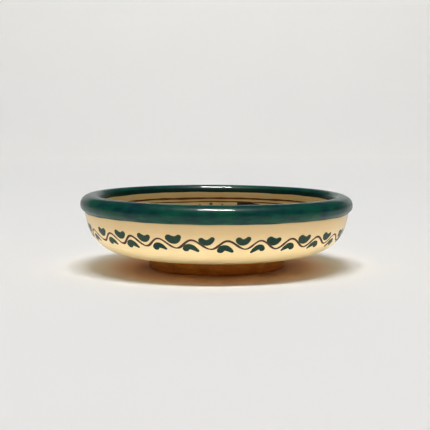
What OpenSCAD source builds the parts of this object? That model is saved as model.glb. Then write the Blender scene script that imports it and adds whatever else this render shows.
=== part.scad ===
// Footed pottery bowl with a rolled lip: thrown clay, a luted foot ring and lip,
// glaze coats inside and out, and brush decoration on the wall and in the well.
// Origin at the middle of the resting face, +Z up, millimetres.

/* [Bowl] */
// Diameter across the rolled lip
rim_d = 200; // [180:1:260]
// Height from the table to the top of the lip
bowl_h = 54.4; // [50:0.2:72]
// Thickness of the floor in the middle of the bowl
floor_t = 8; // [6:0.5:10]

/* [Lip] */
// From the crest of the lip to its outermost edge
lip_out = 9.9; // [8:0.1:12]
// From the crest of the lip to the inside wall
lip_in = 5.3; // [4.5:0.1:7]
// From the widest line of the lip up to its crest
lip_up = 7.4; // [6:0.1:9]
// From the widest line of the lip down to its underside
lip_down = 6.2; // [5:0.1:8]
// How far the lip stands out past the wall
lip_over = 2.8; // [2:0.1:5]
// Fullness of the outer half of the lip; 2 is an oval and more is squarer
lip_full = 2.3; // [2:0.1:3]

/* [Wall curve] */
// How far the wall leans in over its upper part
wall_lean = 3.6; // [0:0.1:5]
// Depth of the upright part of the outside wall
wall_drop = 24; // [18:0.5:28]
// Width of the flat part of the underside
base_run = 30; // [20:0.5:36]
// Gap between the foot and the start of the underside curve
base_step = 1.5; // [0.5:0.1:4]
// Depth of the upright part of the inside wall
well_drop = 15; // [10:0.5:20]
// Width of the flat part of the inside curve
well_run = 38; // [25:0.5:42]
// Radius of the level floor inside
well_r = 42; // [36:0.5:48]

/* [Foot] */
// Outside diameter of the foot ring
foot_d = 101; // [84:1:122]
// Width of the foot ring
foot_w = 8.5; // [6:0.5:12]
// Height of the foot ring
foot_h = 9.6; // [7.5:0.1:12]
// Height of the hollow under the floor, inside the foot ring
foot_hollow = 7.4; // [5:0.1:7.4]
// How much narrower the foot ring is at the table
foot_batter = 0.6; // [0:0.1:2]
// Worn bevel on the resting edges
foot_bevel = 0.9; // [0.3:0.1:1.5]

/* [Luted joints] */
// Width of the tongue that keys the lip to the wall
tongue_w = 3; // [2:0.1:4]
// Height of the tongue
tongue_h = 2.4; // [1:0.1:3]
// Room left for the joining slip
slip_gap = 0.15; // [0.05:0.05:0.3]

/* [Glaze and paint] */
// Thickness of a glaze coat
glaze_t = 0.5; // [0.3:0.05:0.8]
// How far a brush mark stands above the glaze
paint_t = 0.2; // [0.1:0.05:0.4]
// How far the lip colour runs down the inside
lip_glaze_in = 5.2; // [3:0.1:6]

/* [Vine] */
// Number of waves round the bowl
waves = 25; // [20:1:28]
// How far the middle of the vine sits below the underside of the lip
vine_down = 15; // [12:0.1:17]
// Rise and fall of the vine to each side of its middle
vine_swing = 3.1; // [2:0.1:4]
// Width of the vine line
vine_w = 1.2; // [0.8:0.1:1.8]
// Bearing of the leaf nearest the front
vine_start = -3.9; // [-7:0.1:7]

/* [Outside leaves] */
// Length of a leaf along the wall
leaf_span = 10.4; // [8:0.1:11]
// Width of the brush in the upper leaves
upper_w = 3.9; // [2.5:0.1:4.5]
// How high the ends of an upper leaf curl
upper_curl = 4.3; // [3:0.1:5]
// Gap between the vine and an upper leaf
upper_gap = 1.1; // [0.6:0.1:2]
// Width of the brush in the lower leaves
lower_w = 3.4; // [2.5:0.1:4]
// How far the ends of a lower leaf droop
lower_curl = 3.1; // [2:0.1:4]
// Gap between the vine and a lower leaf
lower_gap = 2; // [1:0.1:2.5]

/* [Inside painting] */
// How far the upper band sits below the top of the lip
upper_band_down = 10.8; // [10.4:0.1:11.9]
// Width of the upper band
upper_band_w = 1.5; // [1:0.1:2]
// How far the lower band sits below the top of the lip
lower_band_down = 13.6; // [13.2:0.1:13.8]
// Width of the lower band
lower_band_w = 0.9; // [0.6:0.1:1.2]
// Gap between the lower band and the marks under it
well_gap = 0.8; // [0.3:0.1:2]
// Number of large leaves round the well
well_leaves_n = 6; // [5:1:7]
// Length of a large leaf along the wall
well_leaf_l = 54; // [40:1:60]
// Width of a large leaf
well_leaf_w = 13; // [8:0.5:15]
// Bearing of the blunt end of the first large leaf, from the back
well_leaf_start = 12; // [0:1:30]
// Length of a dab in the sprigs
dab_l = 9; // [6:0.5:11]
// Width of a dab in the sprigs
dab_w = 3.2; // [2:0.1:4]
// Radius of the ring round the rosette
ring_r = 33; // [29:0.5:36]
// Width of the ring round the rosette
ring_w = 1.4; // [1:0.1:2]
// Number of rosette petals
petals_n = 8; // [6:1:9]
// Length of a rosette petal
petal_l = 18; // [14:0.5:20]
// Width of a rosette petal
petal_w = 7; // [5:0.5:7.5]
// Radius of the rosette centre
centre_r = 5; // [3:0.5:6]
// Width of the veins between petals
vein_w = 0.9; // [0.6:0.1:1.2]

/* [Hidden] */
$fn = 96;

curve_steps = 28;       // chords along each wall curve
lip_step = 6;           // degrees between points round the lip
mark_steps = 10;        // chords along each side of a brush mark
wave_steps = 14;        // chords along one wave

rim_r = rim_d / 2;
crest_r = rim_r - lip_out;                  // radius of the crest of the lip
lip_z = bowl_h - lip_up;                    // height of the lip's widest line
inside_r = crest_r - lip_in;                // radius of the upright inside wall
wall_r = rim_r - lip_over;                  // radius of the outside wall under the lip
wrap = acos(pow((wall_r - crest_r) / lip_out, lip_full / 2));   // how far the lip wraps under
seat_z = lip_z - lip_down * pow(sin(wrap), 2 / lip_full);   // height of the lip's seat
well_z = foot_hollow + floor_t;             // height of the level floor inside
foot_r = foot_d / 2;
foot_in_r = foot_r - foot_w;
base_r = foot_r + base_step;
tongue_r = (wall_r + inside_r) / 2;
lip_glaze_end = 180 - asin((lip_up - lip_glaze_in) / lip_up);
vine_z = seat_z - vine_down;
upper_band_z = bowl_h - upper_band_down;
lower_band_z = bowl_h - lower_band_down;
pitch = 360 / waves;
reach = 3;              // how far a cutting outline runs past the wall it cuts

// How a brush mark swells: its pull to the blunt end and to the tapered end
upper_press = [0.22, 0.32];
lower_press = [0.22, 0.4];
great_press = [0.4, 0.8];
dab_press = [0.35, 0.6];
petal_press = [0.6, 0.9];
vein_press = [0.3, 0.5];
curl_ends = [0.8, 1.2];         // share of the curl at each end of an upper leaf
great_ends = [0.2, -0.5];       // bend of a large leaf's ends, as a share of its width
dab_bend = 0.15;                // bend of a dab's ends, as a share of its width
dab_space = 2;                  // dab widths from one dab to the next
dab_drop = 1.2;                 // how much further down the outer dabs of a sprig sit
petal_gap = 1.5;                // from the rosette centre to its petals
vein_out = 2.5;                 // how much further out the veins sit than the petals
petal_in = centre_r + petal_gap;

// Curves -----------------------------------------------------------------

function reverse(list) = [for (i = [len(list) - 1:-1:0]) list[i]];

function bezier(p, t) =
    pow(1 - t, 3) * p[0] + 3 * pow(1 - t, 2) * t * p[1]
    + 3 * (1 - t) * t * t * p[2] + pow(t, 3) * p[3];

function bezier_way(p, t) =
    pow(1 - t, 2) * (p[1] - p[0]) + 2 * (1 - t) * t * (p[2] - p[1]) + t * t * (p[3] - p[2]);

function left_of(v) = [-v[1], v[0]] / norm(v);

// Outside wall, from under the lip to the foot, at a depth below the surface
wall_curve = [[wall_r, seat_z], [wall_r - wall_lean, seat_z - wall_drop],
              [base_r + base_run, foot_h], [base_r, foot_h]];
function wall_in(t) = t == 0 ? [-1, 0] : -left_of(bezier_way(wall_curve, t));
function wall_point(i, depth) =
    let (t = i / curve_steps) bezier(wall_curve, t) + depth * wall_in(t);
function wall_path(first, last, depth) = [for (i = [first:last]) wall_point(i, depth)];

// Inside wall, from the lip's seat to the level floor, at a depth below the surface
well_curve = [[inside_r, seat_z], [inside_r, seat_z - well_drop],
              [well_r + well_run, well_z], [well_r, well_z]];
function well_point(t, depth) =
    bezier(well_curve, t) + depth * left_of(bezier_way(well_curve, t));
function well_path(depth) =
    concat([for (i = [0:curve_steps]) well_point(i / curve_steps, depth)],
           [[0, well_z - depth]]);

// Section of the lip; angle 0 is the outermost edge and 90 is the crest
function full(v) = sign(v) * pow(abs(v), 2 / lip_full);
function lip_point(angle, depth) =
    angle < 90
    ? [crest_r + (lip_out - depth) * full(cos(angle)),
       lip_z + ((angle < 0 ? lip_down : lip_up) - depth) * full(sin(angle))]
    : [crest_r + (lip_in - depth) * cos(angle), lip_z + (lip_up - depth) * sin(angle)];
function lip_path(from, to, depth) =
    let (n = ceil((to - from) / lip_step))
    [for (i = [0:n]) lip_point(from + (to - from) * i / n, depth)];

// The whole inside surface below the lip colour
function inside_path(depth) =
    concat(lip_path(lip_glaze_end, 180, depth), well_path(depth));

// The lip's clay, with a corner wherever the glaze coats on it have one
function without_first(list) = [for (i = [1:len(list) - 1]) list[i]];
function lip_clay() =
    concat(lip_path(-wrap, lip_glaze_end, glaze_t),
           without_first(lip_path(lip_glaze_end, 180, glaze_t)));

// Brush marks ------------------------------------------------------------

// Pressure of the brush along a mark, 1 where it is widest
function pressure(u, blunt, taper) =
    let (m = blunt / (blunt + taper))
    pow(u / m, blunt) * pow((1 - u) / (1 - m), taper);

// Middle line of a mark from a to b that passes through the origin half way
function mark_middle(a, b, u) = pow(1 - u, 2) * a - (1 - u) * u * (a + b) + u * u * b;
function mark_way(a, b, u) = (1 - u) * (-(a + b) / 2 - a) + u * (b + (a + b) / 2);

// Outline of a mark of a given width
function mark(a, b, width, press) =
    let (
        side = function (s) [for (i = [1:mark_steps - 1])
            let (u = (1 - cos(180 * i / mark_steps)) / 2)
            mark_middle(a, b, u)
            + s * width / 2 * pressure(u, press[0], press[1]) * left_of(mark_way(a, b, u))]
    )
    concat([a], side(1), [b], reverse(side(-1)));

upper_mark = mark([-leaf_span / 2, upper_curl * curl_ends[0]],
                  [leaf_span / 2, upper_curl * curl_ends[1]], upper_w, upper_press);
lower_mark = mark([-leaf_span / 2, -lower_curl], [leaf_span / 2, -lower_curl],
                  lower_w, lower_press);

// Turned shapes ----------------------------------------------------------

module turned(outline) {
    rotate_extrude() polygon(outline);
}

// Layer on the outside wall that covers a range of heights
module wall_layer(low, high, depth_a, depth_b) {
    above = [for (i = [0:curve_steps]) if (wall_point(i, 0)[1] >= high) i];
    below = [for (i = [0:curve_steps]) if (wall_point(i, 0)[1] <= low) i];
    first = max(above);
    last = min(below);
    turned(concat(wall_path(first, last, depth_a), reverse(wall_path(first, last, depth_b))));
}

// Layer of paint all over the inside surface
module inside_layer() {
    turned(concat(inside_path(0), reverse(inside_path(-paint_t))));
}

// A flat outline pushed outwards through the wall at a bearing from the front
module through_wall(bearing, z) {
    rotate([0, 0, bearing])
        translate([0, -base_r, z])
        rotate([90, 0, 0])
        linear_extrude(rim_r - base_r + reach)
        children();
}

// The same from inside, at a bearing from the back, drawn as it is seen from the front
module through_back(bearing, z) {
    through_wall(180 - bearing, z) mirror([1, 0]) children();
}

// Clay -------------------------------------------------------------------

module clay_bowl() {
    tongue = [[tongue_r - tongue_w / 2, seat_z], [tongue_r - tongue_w / 2, seat_z + tongue_h],
              [tongue_r + tongue_w / 2, seat_z + tongue_h], [tongue_r + tongue_w / 2, seat_z]];
    boss_r = foot_in_r - slip_gap;
    underside = [[base_r, foot_h], [boss_r, foot_h], [boss_r, foot_hollow], [0, foot_hollow]];
    color("chocolate")
        turned(concat(tongue, wall_path(0, curve_steps, glaze_t), underside,
                      reverse(well_path(glaze_t))));
}

module foot_ring() {
    table_r = foot_r - foot_batter;
    color("sienna")
        turned([[foot_in_r, foot_h], [foot_in_r, foot_bevel], [foot_in_r + foot_bevel, 0],
                [table_r - foot_bevel, 0], [table_r, foot_bevel], [foot_r, foot_h]]);
}

module rim_coil() {
    groove_w = tongue_w + 2 * slip_gap;
    groove_z = seat_z + tongue_h + slip_gap;
    groove = [[tongue_r - groove_w / 2, seat_z], [tongue_r - groove_w / 2, groove_z],
              [tongue_r + groove_w / 2, groove_z], [tongue_r + groove_w / 2, seat_z]];
    color("peru")
        turned(concat(lip_clay(), [[inside_r + glaze_t, seat_z]], groove,
                      [[wall_r - glaze_t, seat_z]]));
}

// Glaze ------------------------------------------------------------------

module outer_glaze() {
    color("wheat")
        turned(concat(wall_path(0, curve_steps, 0), reverse(wall_path(0, curve_steps, glaze_t))));
}

module inner_glaze() {
    color("burlywood")
        turned(concat(inside_path(0), reverse(inside_path(glaze_t))));
}

module rim_glaze() {
    color("darkslategray")
        turned(concat(lip_path(-wrap, lip_glaze_end, 0),
                      reverse(lip_path(-wrap, lip_glaze_end, glaze_t)),
                      [[wall_r - glaze_t, seat_z]]));
}

// Outside painting -------------------------------------------------------

// Height and radius of the points down the outside wall, for looking up a radius
wall_table = [for (i = [0:curve_steps]) [wall_point(i, 0)[1], wall_point(i, 0)[0]]];

// One corner of the vine's section: side is -1 below and 1 above, lift is off the glaze
function vine_corner(bearing, side, lift) =
    let (
        turn = waves * (bearing - vine_start),
        slope = vine_swing * waves * sin(turn) / wall_r,
        z = vine_z - vine_swing * cos(turn) + side * vine_w / 2 * sqrt(1 + slope * slope),
        r = lookup(z, wall_table) + lift
    )
    [r * sin(bearing), -r * cos(bearing), z];

module vine_line() {
    rings = waves * wave_steps;
    points = [for (i = [0:rings - 1], c = [[-1, 0], [-1, paint_t], [1, paint_t], [1, 0]])
        vine_corner(i * 360 / rings, c[0], c[1])];
    faces = [for (i = [0:rings - 1], j = [0:3])
        let (next = (i + 1) % rings, k = (j + 1) % 4)
        [4 * i + j, 4 * i + k, 4 * next + k, 4 * next + j]];
    color("saddlebrown") polyhedron(points, faces);
}

module upper_leaves() {
    middle_z = vine_z - vine_swing + vine_w / 2 + upper_gap + upper_w / 2;
    color("darkslategray")
        intersection() {
            wall_layer(middle_z - upper_w, middle_z + upper_curl * curl_ends[1] + upper_w / 2,
                       0, -paint_t);
            union()
                for (k = [0:waves - 1])
                    through_wall(vine_start + k * pitch, middle_z) polygon(upper_mark);
        }
}

module lower_leaves() {
    middle_z = vine_z + vine_swing - vine_w / 2 - lower_gap - lower_w / 2;
    color("darkslategray")
        intersection() {
            wall_layer(middle_z - lower_curl - lower_w, middle_z + lower_w, 0, -paint_t);
            union()
                for (k = [0:waves - 1])
                    through_wall(vine_start + (k + 0.5) * pitch, middle_z)
                        mirror([k < waves / 2 ? 1 : 0, 0]) polygon(lower_mark);
        }
}

// Inside painting --------------------------------------------------------

module inside_band(z, width) {
    intersection() {
        inside_layer();
        translate([0, 0, z - width / 2]) cylinder(h = width, r = rim_r);
    }
}

module upper_band() {
    color("saddlebrown") inside_band(upper_band_z, upper_band_w);
}

module lower_band() {
    color("peru") inside_band(lower_band_z, lower_band_w);
}

leaf_pitch = 360 / well_leaves_n;
marks_top = lower_band_z - lower_band_w / 2 - well_gap;     // where the inside marks start
function top_of(outline) = max([for (p = outline) p[1]]);

module well_leaves() {
    outline = mark([-well_leaf_l / 2, well_leaf_w * great_ends[0]],
                   [well_leaf_l / 2, well_leaf_w * great_ends[1]], well_leaf_w, great_press);
    half_turn = asin(well_leaf_l / 2 / inside_r);
    color("darkslategray")
        intersection() {
            inside_layer();
            union()
                for (k = [0:well_leaves_n - 1])
                    through_back(well_leaf_start + half_turn + k * leaf_pitch,
                                 marks_top - top_of(outline)) polygon(outline);
        }
}

module well_sprigs() {
    bend = dab_w * dab_bend;
    dab = [for (p = mark([-dab_l / 2, bend], [dab_l / 2, bend], dab_w, dab_press))
        [p[1], -p[0]]];
    dab_turn = asin(dab_w * dab_space / inside_r);
    color("seagreen")
        intersection() {
            inside_layer();
            union()
                for (k = [0:well_leaves_n - 1], j = [-1:1])
                    through_back(well_leaf_start - leaf_pitch / 4 + k * leaf_pitch + j * dab_turn,
                                 marks_top - top_of(dab) - abs(j) * dab_drop) polygon(dab);
        }
}

module well_ring() {
    color("saddlebrown")
        translate([0, 0, well_z])
        difference() {
            cylinder(h = paint_t, r = ring_r + ring_w / 2);
            translate([0, 0, -reach]) cylinder(h = 2 * reach, r = ring_r - ring_w / 2);
        }
}

module rosette_petals() {
    petal = mark([0, petal_l / 2], [0, -petal_l / 2], petal_w, petal_press);
    color("darkslategray")
        translate([0, 0, well_z])
        linear_extrude(paint_t)
        for (k = [0:petals_n - 1])
            rotate(k * 360 / petals_n)
                translate([0, petal_in + petal_l / 2]) polygon(petal);
}

module rosette_veins() {
    vein = mark([0, petal_l / 2], [0, -petal_l / 2], vein_w, vein_press);
    color("saddlebrown")
        translate([0, 0, well_z])
        linear_extrude(paint_t)
        for (k = [0:petals_n - 1])
            rotate((k + 0.5) * 360 / petals_n)
                translate([0, petal_in + petal_l / 2 + vein_out]) polygon(vein);
}

module rosette_centre() {
    color("saddlebrown")
        translate([0, 0, well_z])
        cylinder(h = paint_t, r = centre_r);
}

clay_bowl();
foot_ring();
rim_coil();
outer_glaze();
inner_glaze();
rim_glaze();
vine_line();
upper_leaves();
lower_leaves();
upper_band();
lower_band();
well_leaves();
well_sprigs();
well_ring();
rosette_petals();
rosette_veins();
rosette_centre();
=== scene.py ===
import math

import bpy
import numpy as np
from bpy.props import FloatProperty, FloatVectorProperty, IntProperty, PointerProperty
from bpy.types import Operator, Panel, PropertyGroup
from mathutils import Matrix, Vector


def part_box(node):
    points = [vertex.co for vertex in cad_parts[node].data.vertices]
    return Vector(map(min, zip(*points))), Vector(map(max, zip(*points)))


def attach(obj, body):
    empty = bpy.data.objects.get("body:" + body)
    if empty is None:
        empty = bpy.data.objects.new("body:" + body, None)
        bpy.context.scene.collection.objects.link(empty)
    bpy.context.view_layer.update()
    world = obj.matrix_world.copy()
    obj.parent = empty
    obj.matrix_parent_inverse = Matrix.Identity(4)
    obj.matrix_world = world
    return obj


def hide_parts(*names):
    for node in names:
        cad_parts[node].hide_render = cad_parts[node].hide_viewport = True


bl_info = {
    "name": "Hand Painted Footed Bowl",
    "version": (1, 0, 0),
    "blender": (4, 5, 0),
    "location": "View3D > Sidebar > Bowl",
    "description": "Throws, glazes and paints a footed pottery bowl around its fixed frame",
    "category": "Add Mesh",
}

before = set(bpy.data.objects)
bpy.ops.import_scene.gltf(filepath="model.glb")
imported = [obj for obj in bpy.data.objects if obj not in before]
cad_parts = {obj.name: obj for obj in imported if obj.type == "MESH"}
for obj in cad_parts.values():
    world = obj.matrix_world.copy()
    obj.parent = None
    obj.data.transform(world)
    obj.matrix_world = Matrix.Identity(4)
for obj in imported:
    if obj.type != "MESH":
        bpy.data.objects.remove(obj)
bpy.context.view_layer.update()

MM = 0.001
BOUNCE = (1.62, 1.51, 1.37)      # warm light that the paper sends back to the bowl
BODY = "root"
TAU = 2 * math.pi
GREAT_LEAVES, PETALS = 6, 8      # as many as the frame has

# Lowest and highest corners that the frame fixes
CLAY_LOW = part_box("clay_bowl")[0]
LIP_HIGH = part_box("rim_glaze")[1]
FOOT_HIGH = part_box("foot_ring")[1]
COAT_LOW, COAT_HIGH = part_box("outer_glaze")
BAND_LOW, BAND_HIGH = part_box("upper_band")
THIN_LOW, THIN_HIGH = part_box("lower_band")
RING_LOW, RING_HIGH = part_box("well_ring")


def size(name, text, default, low=0.0, high=1000.0):
    """A length that a user may change, given in millimetres."""
    return FloatProperty(name=name, description=text, default=default * MM, min=low * MM,
                         max=high * MM, unit="LENGTH", subtype="DISTANCE")


def colour(name, text, default):
    """A colour that a user may change."""
    return FloatVectorProperty(name=name, description=text, default=default, size=3,
                               min=0.0, max=1.0, subtype="COLOR")


def share(name, text, default, low=0.0, high=1.0):
    """A plain number that a user may change."""
    return FloatProperty(name=name, description=text, default=default, min=low, max=high)


class BowlForm(PropertyGroup):
    """Sizes of the thrown form; the frame gives the ones that must not change."""
    lip_out: size("Lip outward", "From the crest of the lip to its outer edge", 9.9)
    lip_in: size("Lip inward", "From the crest of the lip to the inside wall", 5.3)
    lip_up: size("Lip upward", "From the lip's widest line to its crest", 7.4)
    lip_down: size("Lip downward", "From the lip's widest line to its underside", 6.2)
    lip_full: share("Lip fullness", "Outer half: 2 is oval, more is squarer", 2.3, 1.6, 4)
    wall_lean: size("Wall lean", "How far the wall leans in over its upper part", 3.6)
    wall_drop: size("Wall drop", "Depth of the upright part outside", 24)
    base_run: size("Base run", "Width of the flat part underneath", 30)
    base_step: size("Base step", "Gap from the foot to the glazed underside", 1.5)
    well_drop: size("Well drop", "Depth of the upright part inside", 15)
    well_run: size("Well run", "Width of the curve inside", 38)
    well_radius: size("Well radius", "Radius of the level floor inside", 42)
    foot_width: size("Foot width", "Width of the foot ring", 8.5)
    lean: size("Lean", "How much lower the right side of the lip sits", 1.8)
    ring_depth: size("Throwing rings", "Depth of the finger rings in the wall", 0.05)
    glaze: size("Glaze thickness", "Thickness of a coat of glaze", 0.5)
    paint: size("Paint thickness", "How far a brush mark stands up", 0.09)


class BowlBrushwork(PropertyGroup):
    """Where the brush goes and how big its marks are."""
    waves: IntProperty(name="Waves", description="Waves in the vine", default=25, min=8, max=40)
    vine_height: size("Vine height", "Height of the middle of the vine", 27.45)
    vine_swing: size("Vine swing", "Rise and fall of the vine", 3.1)
    vine_width: size("Vine width", "Width of the vine line", 1.55)
    vine_bearing: share("Vine bearing", "Bearing of the front trough, degrees", -2.5, -10, 10)
    leaf_span: size("Leaf span", "Length of a leaf along the wall", 10.4)
    upper_width: size("Upper leaf width", "Width of the upper leaves", 4.4)
    lower_width: size("Lower leaf width", "Width of the lower leaves", 4.0)
    seed: IntProperty(name="Hand", description="Which set of small slips of the hand",
                      default=7, min=0, max=999)


class BowlColours(PropertyGroup):
    """Colours of the clay, the glazes and the paints."""
    clay: colour("Clay", "Bare fired clay", (0.46, 0.16, 0.022))
    cream: colour("Cream glaze", "Glaze on the outside wall", (0.97, 0.86, 0.56))
    cream_deep: colour("Cream, deep", "Where the cream glaze lies thick", (0.93, 0.76, 0.42))
    # Painted shade: the colour that the outside wall goes over to under the lip, standing in for
    # the lip's shadow there.
    cream_shade: colour("Cream, under the lip", "Where the cream glaze gathers under the lip",
                        (0.64, 0.49, 0.265))
    # Painted shade: the inside has the same cream glaze as the outside; these two colours are that
    # cream darkened to stand in for the shade inside the bowl.
    honey: colour("Honey glaze", "Glaze inside the bowl", (0.68, 0.53, 0.28))
    inside_cream_shaded_deep: colour("Honey, deep", "Where the honey glaze lies thick", (0.50, 0.35, 0.16))
    teal: colour("Teal", "Lip glaze where it lies thick", (0.001, 0.024, 0.036))
    green: colour("Green", "Lip glaze where the brush dragged it thin", (0.003, 0.075, 0.042))
    leaf: colour("Leaf", "Leaf paint", (0.004, 0.034, 0.032))
    leaf_edge: colour("Leaf edge", "Leaf paint at its rim", (0.016, 0.055, 0.024))
    vine: colour("Vine", "Vine paint", (0.045, 0.017, 0.014))
    band: colour("Band", "Bands and veins inside", (0.07, 0.026, 0.006))
    floor: colour("Floor", "Studio floor", (0.80, 0.797, 0.79))
    # Painted shadow: a darker, browner floor colour laid under the bowl, standing in for its
    # shadow and the warm light its clay throws there.
    warm: colour("Warm floor", "Floor under the bowl, where its clay warms it", (0.65, 0.39, 0.26))


class BowlStudio(PropertyGroup):
    """Camera and light."""
    distance: size("Camera distance", "Level distance from the bowl's axis", 850, 100, 5000)
    height: size("Camera height", "Height above the floor", 123.5, 0, 3000)
    aside: size("Camera aside", "Sideways place of the camera", -0.96, -1000, 1000)
    pitch: share("Camera pitch", "Degrees down from level", 5.76, -90, 90)
    roll: share("Camera roll", "Degrees clockwise", 0.15, -10, 10)
    lens: share("Lens", "Focal length in millimetres on a 36 mm film", 96.85, 10, 300)
    strip_power: share("Strip light", "Power of the overhead strip in watts", 81.0, 0, 500)
    strip_glint: share("Strip glint", "Power of the strip as it shows in gloss", 190.0, 0, 900)
    wash_power: share("Backdrop light", "Power of the light on the backdrop", 14.3, 0, 500)
    side_power: share("Side lights", "Power of each soft side light in watts", 2.2, 0, 500)
    fill_power: share("Fill light", "Power of the soft light from the front", 0.8, 0, 500)
    sky: share("Room light", "Strength of the light from the room", 0.03, 0, 10)


# The skin: one curve from the middle of the well, over the lip, to the foot

def bezier(points, n):
    """Points along a cubic curve."""
    t = np.linspace(0, 1, n)[:, None]
    a, b, c, d = (np.array(p, float) for p in points)
    return (1 - t) ** 3 * a + 3 * (1 - t) ** 2 * t * b + 3 * (1 - t) * t * t * c + t ** 3 * d


def ways(path):
    """Way along a path to each of its points."""
    return np.r_[0, np.cumsum(np.linalg.norm(np.diff(path, axis=0), axis=1))]


def along(path, way, s):
    """Points of a path at the ways s."""
    return np.c_[np.interp(s, way, path[:, 0]), np.interp(s, way, path[:, 1])]


class Skin:
    """The bowl's finished surface. s is the way along it from the lip's crest: below 0 inside."""

    STEP = 0.1 * MM
    CORNER = 7          # steps over which a corner is rounded

    def __init__(self, form):
        self.form = form
        crest_r = LIP_HIGH.x - form.lip_out
        lip_z = LIP_HIGH.z - form.lip_up
        inside_r = BAND_HIGH.x
        wall_r, seat_z = COAT_HIGH.x, COAT_HIGH.z
        foot_h = COAT_LOW.z
        self.base_r = FOOT_HIGH.x + form.base_step
        self.well_z = RING_LOW.z
        round_ = 2 / form.lip_full
        wrap = math.acos(((wall_r - crest_r) / form.lip_out) ** (1 / round_))

        def oval(start, end, n, wide, tall, power=round_):
            a = np.linspace(start, end, n)
            c, d = np.cos(a), np.sin(a)
            return np.c_[crest_r + wide * np.sign(c) * np.abs(c) ** power,
                         lip_z + tall * np.sign(d) * np.abs(d) ** power]

        inner_lip = oval(math.pi, math.pi / 2, 120, form.lip_in, form.lip_up, 1)
        outer_lip = oval(math.pi / 2, 0, 160, form.lip_out, form.lip_up)
        under_lip = oval(0, -wrap, 100, form.lip_out, form.lip_down)
        seat_z = under_lip[-1, 1]
        well = bezier([(form.well_radius, self.well_z),
                       (form.well_radius + form.well_run, self.well_z),
                       (inside_r, seat_z - form.well_drop), (inside_r, seat_z)], 400)
        wall = bezier([(wall_r, seat_z), (wall_r - form.wall_lean, seat_z - form.wall_drop),
                       (self.base_r + form.base_run, foot_h), (self.base_r, foot_h)], 400)
        path = np.vstack([[(0, self.well_z)], well, inner_lip, outer_lip[1:], under_lip[1:],
                          wall[1:]])
        path = path[np.r_[True, np.diff(ways(path)) > 1e-7]]
        way = ways(path)
        s = np.linspace(0, way[-1], int(way[-1] / self.STEP))
        even = along(path, way, s)
        kernel = np.hanning(2 * self.CORNER + 1)
        kernel /= kernel.sum()
        soft = np.column_stack([np.convolve(np.pad(v, self.CORNER, "edge"), kernel, "valid")
                                for v in even.T])
        soft[0] = even[0]
        soft[-1] = even[-1]
        crest = int(np.argmax(soft[:, 1]))
        self.s = s - s[crest]
        self.r, self.z = soft[:, 0], soft[:, 1]
        go = np.gradient(soft, axis=0)
        go /= np.linalg.norm(go, axis=1)[:, None]
        self.nr, self.nz = -go[:, 1], go[:, 0]
        self.start, self.end = self.s[0], self.s[-1]
        outside = self.s > 0
        self.seat = self.s[outside][np.argmin(np.abs(self.z[outside] - seat_z)
                                              + 10 * np.abs(self.r[outside] - wall_r))]

    def at(self, s):
        """Radius, height and outward direction at s."""
        return tuple(np.interp(s, self.s, v) for v in (self.r, self.z, self.nr, self.nz))

    def outside_at(self, z):
        """s of a height on the outside wall."""
        part = self.s >= self.seat
        return np.interp(-np.asarray(z), -self.z[part], self.s[part])

    def inside_at(self, z):
        """s of a height on the inside wall."""
        part = (self.s < 0) & (self.r > 50 * MM)
        return np.interp(z, self.z[part], self.s[part])

    def well_at(self, r):
        """s of a radius in the well."""
        part = (self.s < 0) & (self.z < self.well_z + 12 * MM)
        return np.interp(r, self.r[part], self.s[part])


def ease(x):
    """0 up to 0 and 1 from 1, smoothly between."""
    x = np.clip(x, 0, 1)
    return x * x * (3 - 2 * x)


def slips(rng, turns, size_):
    """A seeded wavering round the bowl: a function of bearing that closes on itself."""
    phases = rng.uniform(0, TAU, len(turns))
    sizes = rng.uniform(0.5, 1.0, len(turns)) * size_ / math.sqrt(len(turns))
    return lambda b: sum(q * np.sin(k * b + p) for k, p, q in zip(turns, phases, sizes))


def hand_of(form, b, x, y, z):
    """Where the potter's hand really left a point of the true form."""
    rise = np.clip(z / LIP_HIGH.z, 0, 1)
    drop = form.lean * 0.5 * (1 + x / LIP_HIGH.x) * rise
    pull = 1 - 0.0012 * rise * (1 + np.cos(2 * b - 0.8)) * 0.5
    return x * pull, y * pull, z - drop


def place(skin, b, s, lift):
    """Points at bearing b from the front and way s along the skin, lifted off it."""
    b, s, lift = np.broadcast_arrays(b, s, lift)
    r, z, nr, nz = skin.at(s)
    wall = ease((s - skin.seat - 3 * MM) / (6 * MM)) * ease((skin.end - s) / (8 * MM))
    well = ease((skin.inside_at(38 * MM) - s) / (8 * MM)) * ease(r / (10 * MM))
    rings = skin.form.ring_depth * (wall * np.sin(TAU * s / (3.3 * MM) + b)
                                    + 1.6 * well * np.sin(TAU * s / (5.1 * MM) + b))
    slow = 0.10 * MM * (np.sin(3 * b + 1.0 + s * 40) + 0.6 * np.sin(5 * b + 4.0 - s * 70))
    slow = slow * ease(r / (30 * MM)) * ease((z - 9.5 * MM) / (10 * MM))
    off = lift + rings + slow - 0.25 * MM
    r2, z2 = r + nr * off, z + nz * off
    x, y = r2 * np.sin(b), -r2 * np.cos(b)
    return np.stack(hand_of(skin.form, b, x, y, z2), axis=-1)


# Mesh building

def new_piece(name, points, faces, node, slot, values=None, sharp=50):
    """A mesh object that rides on the bowl and stands for one node of the frame."""
    mesh = bpy.data.meshes.new(name)
    mesh.from_pydata(points.tolist(), [], faces)
    for key, data in (values or {}).items():
        mesh.attributes.new(key, "FLOAT", "POINT").data.foreach_set(
            "value", np.ascontiguousarray(data, dtype=np.float32))
    mesh.validate()
    mesh.shade_smooth()
    mesh.set_sharp_from_angle(angle=math.radians(sharp))
    piece = bpy.data.objects.new(name, mesh)
    bpy.context.scene.collection.objects.link(piece)
    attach(piece, BODY)
    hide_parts(node)
    return piece


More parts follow.
